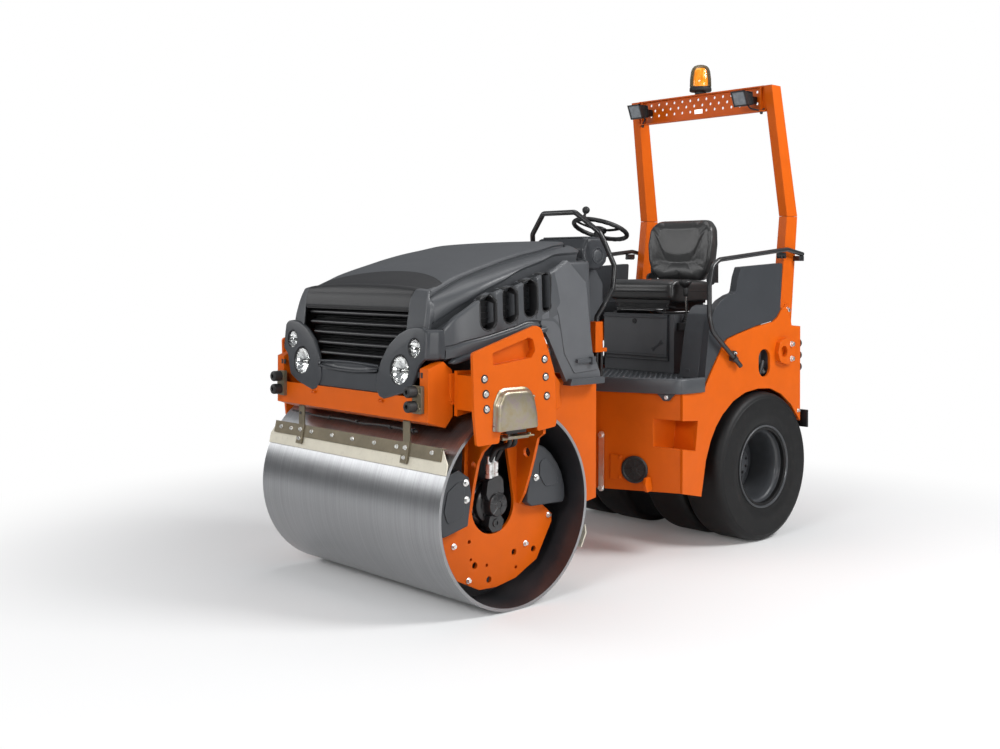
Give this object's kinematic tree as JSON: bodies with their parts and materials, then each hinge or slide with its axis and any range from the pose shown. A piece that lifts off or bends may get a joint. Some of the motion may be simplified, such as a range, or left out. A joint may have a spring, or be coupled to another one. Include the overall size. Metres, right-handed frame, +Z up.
{
  "type": "combination roller",
  "caption": "Articulated combination roller with a smooth steel front drum, smooth rear tyres, open operator platform, roll-over bar and tilting hood.",
  "frame": {"origin": "on the ground under the middle of the overall length and width", "axes": "+X forward toward the drum, +Y to the machine's left, +Z up"},
  "size_m": [2.9001, 1.538, 2.7699],
  "materials": {
    "orange_paint": "semi-gloss powder coat",
    "grey_plastic": "fine-textured moulded plastic",
    "black_plastic": "matt black moulded plastic",
    "drum_steel": "turned and rolled bare steel",
    "zinc": "yellow-chromated zinc plate",
    "tyre": "smooth tread rubber",
    "rubber": "moulded rubber",
    "rim_paint": "dark grey paint",
    "scraper_plastic": "natural plastic blade",
    "seat_vinyl": "grained black vinyl",
    "black_steel": "black painted steel",
    "lamp_glass": "clear moulded lens",
    "beacon_amber": "amber lens",
    "engine_metal": "painted iron"
  },
  "bodies": {
    "rear_frame": {"rear_frame": "orange_paint", "side_panels": "orange_paint", "rear_panel": "orange_paint", "rear_body": "grey_plastic", "lifting_eyes": "orange_paint", "rear_buffers": "rubber", "tyre_scrapers": "black_plastic", "rear_axle": "black_steel", "platform_floor": "grey_plastic", "seat_box": "grey_plastic", "side_covers": "grey_plastic", "seat_rails": "black_steel", "seat_cushion": "seat_vinyl", "seat_backrest": "seat_vinyl", "drive_lever": "black_plastic", "console": "grey_plastic", "steering_column": "black_plastic", "console_hoop": "rim_paint", "hoop_brackets": "orange_paint", "grab_rails": "rim_paint", "rops_lower_posts": "orange_paint", "rops_upper_posts": "orange_paint", "rops_crossbar": "orange_paint", "work_lamps": "black_plastic", "beacon": "beacon_amber"},
    "knuckle": {"steering_knuckle": "black_steel"},
    "steering_barrel": {"steering_barrel": "black_steel"},
    "steering_rod": {"steering_rod": "drum_steel"},
    "front_frame": {"front_frame": "orange_paint", "carrier_plates": "orange_paint", "drum_supports": "orange_paint", "drum_motors": "black_steel", "drum_hoses": "rubber", "hose_glands": "black_steel", "hose_covers": "zinc", "drum_guards": "grey_plastic", "front_scraper_bar": "zinc", "front_scraper_blade": "scraper_plastic", "rear_scraper_bar": "orange_paint", "rear_scraper_blade": "scraper_plastic", "front_buffers": "rubber", "buffer_brackets": "zinc", "engine_block": "engine_metal"},
    "hood": {"hood": "grey_plastic", "grille": "black_plastic", "headlamps": "lamp_glass"},
    "drum": {"drum": "drum_steel"},
    "left_wheels": {"left_tyres": "tyre", "left_rims": "rim_paint"},
    "right_wheels": {"right_tyres": "tyre", "right_rims": "rim_paint"},
    "steering_wheel": {"steering_wheel": "black_plastic"},
    "box_door": {"box_door": "grey_plastic"}
  },
  "joints": [
    {"name": "articulation", "type": "hinge", "parent": "rear_frame", "child": "knuckle", "pos_m": [-0.028, 0, 0.6], "axis": [0, 0, 1], "range_deg": [-32, 32]},
    {"name": "oscillation", "type": "hinge", "parent": "knuckle", "child": "front_frame", "pos_m": [-0.028, 0, 0.6], "axis": [1, 0, 0], "range_deg": [-8, 8]},
    {"name": "drum_spin", "type": "hinge", "parent": "front_frame", "child": "drum", "pos_m": [0.952, 0, 0.45], "axis": [0, 1, 0], "continuous": true},
    {"name": "hood_tilt", "type": "hinge", "parent": "front_frame", "child": "hood", "pos_m": [1.388, 0, 0.926], "axis": [0, 1, 0], "range_deg": [0, 60]},
    {"name": "left_wheel_spin", "type": "hinge", "parent": "rear_frame", "child": "left_wheels", "pos_m": [-1.008, 0.366, 0.4165], "axis": [0, 1, 0], "continuous": true},
    {"name": "right_wheel_spin", "type": "hinge", "parent": "rear_frame", "child": "right_wheels", "pos_m": [-1.008, -0.366, 0.4165], "axis": [0, 1, 0], "continuous": true},
    {"name": "steering_wheel_turn", "type": "hinge", "parent": "rear_frame", "child": "steering_wheel", "pos_m": [-0.34, 0, 1.741], "axis": [-0.3495, 0, 0.9369], "continuous": true},
    {"name": "box_door_hinge", "type": "hinge", "parent": "rear_frame", "child": "box_door", "pos_m": [-0.6595, 0, 1.023], "axis": [0, 1, 0], "range_deg": [0, 90]},
    {"name": "barrel_swing", "type": "hinge", "parent": "rear_frame", "child": "steering_barrel", "pos_m": [-0.168, -0.38, 0.48], "axis": [0, 0, 1], "range_deg": [-4, 4]},
    {"name": "rod_stroke", "type": "slide", "parent": "steering_barrel", "child": "steering_rod", "axis": [0.5668, 0.8238, 0], "range_m": [-0.056, 0.056]}
  ],
  "couplings": [
    {"joint": "barrel_swing", "follows": "articulation", "ratio": 0.1},
    {"joint": "rod_stroke", "follows": "articulation", "m_per_rad": 0.0977}
  ]
}
